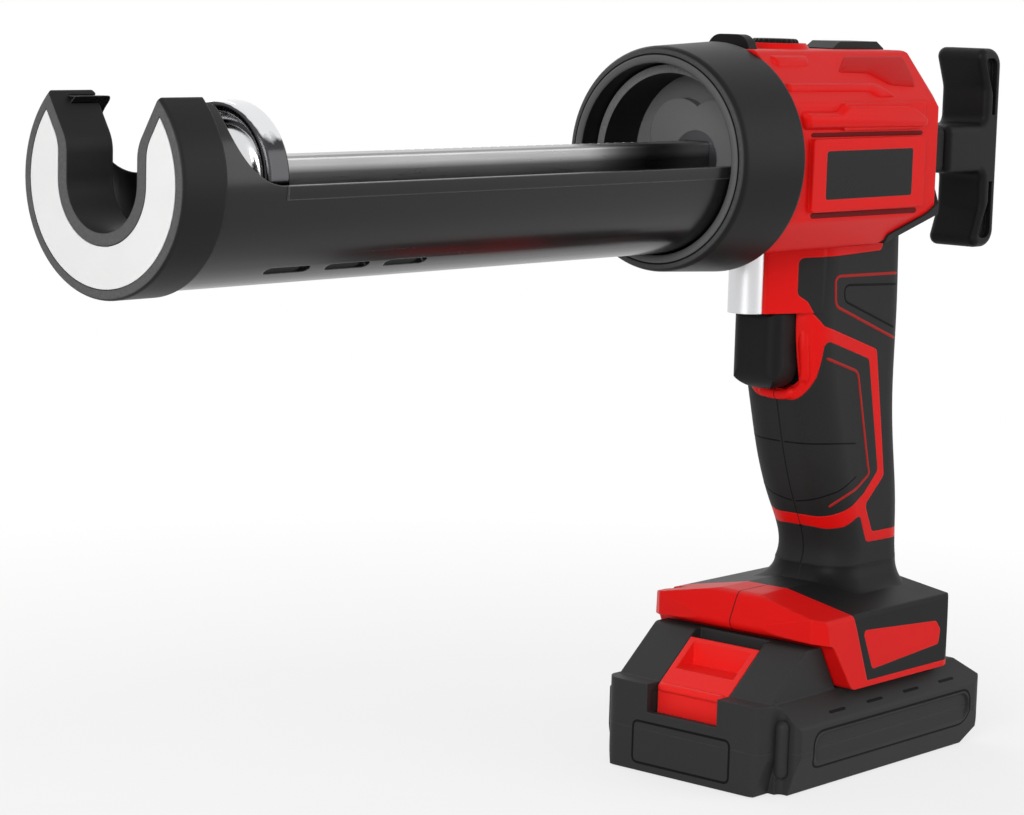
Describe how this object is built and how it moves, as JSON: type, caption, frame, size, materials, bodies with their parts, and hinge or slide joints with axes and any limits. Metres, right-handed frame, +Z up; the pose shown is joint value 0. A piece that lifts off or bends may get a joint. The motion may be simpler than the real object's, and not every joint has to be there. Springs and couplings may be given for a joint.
{
  "type": "cordless caulking tool",
  "caption": "Cordless caulking tool: half-round cartridge tray with slotted nose, geared push rod with pull handle, red drive housing on a pistol grip, slide-on battery foot.",
  "frame": {"origin": "under the middle of the overall box, on the surface the battery stands on", "axes": "+X from the nose back to the pull handle, +Y to the tool's right side, +Z up"},
  "size_m": [0.393, 0.076, 0.2319],
  "materials": {
    "red_plastic": "moulded red, fine grain",
    "black_plastic": "moulded black, fine grain",
    "gloss_black": "smooth black",
    "soft_black": "soft grained rubber",
    "black_nylon": "grained black nylon",
    "black_tray": "black coated sheet",
    "white_plastic": "natural white",
    "grey_casting": "as cast",
    "bronze": "sintered",
    "bright_steel": "brushed",
    "steel": "machined",
    "dark_steel": "blackened",
    "chrome": "polished",
    "spring_steel": "drawn wire",
    "circuit_board": "lacquered board",
    "contact_brass": "stamped",
    "cell_can": "wrapped cell",
    "battery_grey": "moulded dark grey"
  },
  "bodies": {
    "body": {"barrel_collar": "black_nylon", "gear_plate": "grey_casting", "rod_front_bush": "bronze", "rod_rear_guide": "black_nylon", "left_housing": "red_plastic", "right_housing": "red_plastic", "left_grip": "soft_black", "right_grip": "soft_black", "left_foot_panel": "black_plastic", "right_foot_panel": "black_plastic", "left_label_plate": "gloss_black", "right_label_plate": "gloss_black", "rear_bumper": "soft_black", "front_post": "bright_steel", "gear_frame": "grey_casting", "shaft_bearings": "bronze", "gearbox_case": "steel", "motor_can": "steel", "motor_end_cap": "black_plastic", "trigger_switch": "black_plastic", "dial_potentiometer": "black_plastic", "button_switch": "black_plastic", "control_board": "circuit_board", "terminal_block": "black_plastic", "terminal_blades": "contact_brass", "housing_screws": "steel", "lock_lever_pin": "steel"},
    "barrel": {"nose_collar": "black_nylon", "nose_insert": "white_plastic", "barrel_tray": "black_tray", "tray_hoop": "black_tray"},
    "rod": {"push_rod": "dark_steel", "piston": "chrome", "piston_nut": "steel", "rod_buffer": "soft_black", "t_handle": "black_plastic", "t_handle_screw": "steel"},
    "counter": {"counter_shaft": "steel", "rack_pinion": "steel", "counter_gear": "steel"},
    "output": {"output_shaft": "steel", "output_pinion": "steel"},
    "trigger": {"trigger": "black_plastic", "trigger_plunger": "white_plastic", "trigger_spring": "spring_steel"},
    "dial": {"speed_dial": "black_plastic"},
    "button": {"top_button": "gloss_black", "top_button_spring": "spring_steel"},
    "lever": {"barrel_lock_lever": "black_plastic"},
    "battery": {"battery_lower_case": "battery_grey", "battery_upper_case": "battery_grey", "battery_cells": "cell_can", "battery_board": "circuit_board", "battery_terminals": "contact_brass", "battery_screws": "steel"},
    "latch": {"battery_latch": "red_plastic", "latch_spring": "spring_steel"}
  },
  "joints": [
    {"name": "rod_slide", "type": "slide", "parent": "body", "child": "rod", "axis": [1, 0, 0], "range_m": [-0.0155, 0.1855]},
    {"name": "counter_spin", "type": "hinge", "parent": "body", "child": "counter", "pos_m": [0.10355, 0.01128, 0.1946], "axis": [0, 0, 1], "range_deg": [-119, 1420]},
    {"name": "output_spin", "type": "hinge", "parent": "body", "child": "output", "pos_m": [0.1156, 0, 0.1746], "axis": [0, 0, 1], "range_deg": [-2840, 238]},
    {"name": "barrel_swivel", "type": "hinge", "parent": "body", "child": "barrel", "pos_m": [0.0355, 0, 0.1946], "axis": [1, 0, 0], "continuous": true},
    {"name": "trigger_pull", "type": "slide", "parent": "body", "child": "trigger", "axis": [1, 0, 0], "range_m": [0, 0.006], "stiffness_N_per_m": 600, "springref_m": -0.003, "deforming": ["trigger_spring"]},
    {"name": "speed_dial_turn", "type": "hinge", "parent": "body", "child": "dial", "pos_m": [0.0788, 0, 0.2246], "axis": [0, 0, 1], "range_deg": [-135, 135]},
    {"name": "top_button_press", "type": "slide", "parent": "body", "child": "button", "axis": [0, 0, -1], "range_m": [0, 0.002], "stiffness_N_per_m": 800, "springref_m": -0.002, "deforming": ["top_button_spring"]},
    {"name": "lock_lever_tilt", "type": "hinge", "parent": "body", "child": "lever", "pos_m": [0.0569, 0, 0.2238], "axis": [0, 1, 0], "range_deg": [0, 25]},
    {"name": "battery_slide", "type": "slide", "parent": "body", "child": "battery", "axis": [-1, 0, 0], "range_m": [0, 0.095]},
    {"name": "battery_latch_press", "type": "slide", "parent": "battery", "child": "latch", "axis": [0, 0, -1], "range_m": [0, 0.003], "stiffness_N_per_m": 700, "springref_m": -0.002, "deforming": ["latch_spring"]}
  ],
  "couplings": [
    {"joint": "counter_spin", "follows": "rod_slide", "rad_per_m": 133.33},
    {"joint": "output_spin", "follows": "rod_slide", "rad_per_m": -266.67}
  ]
}
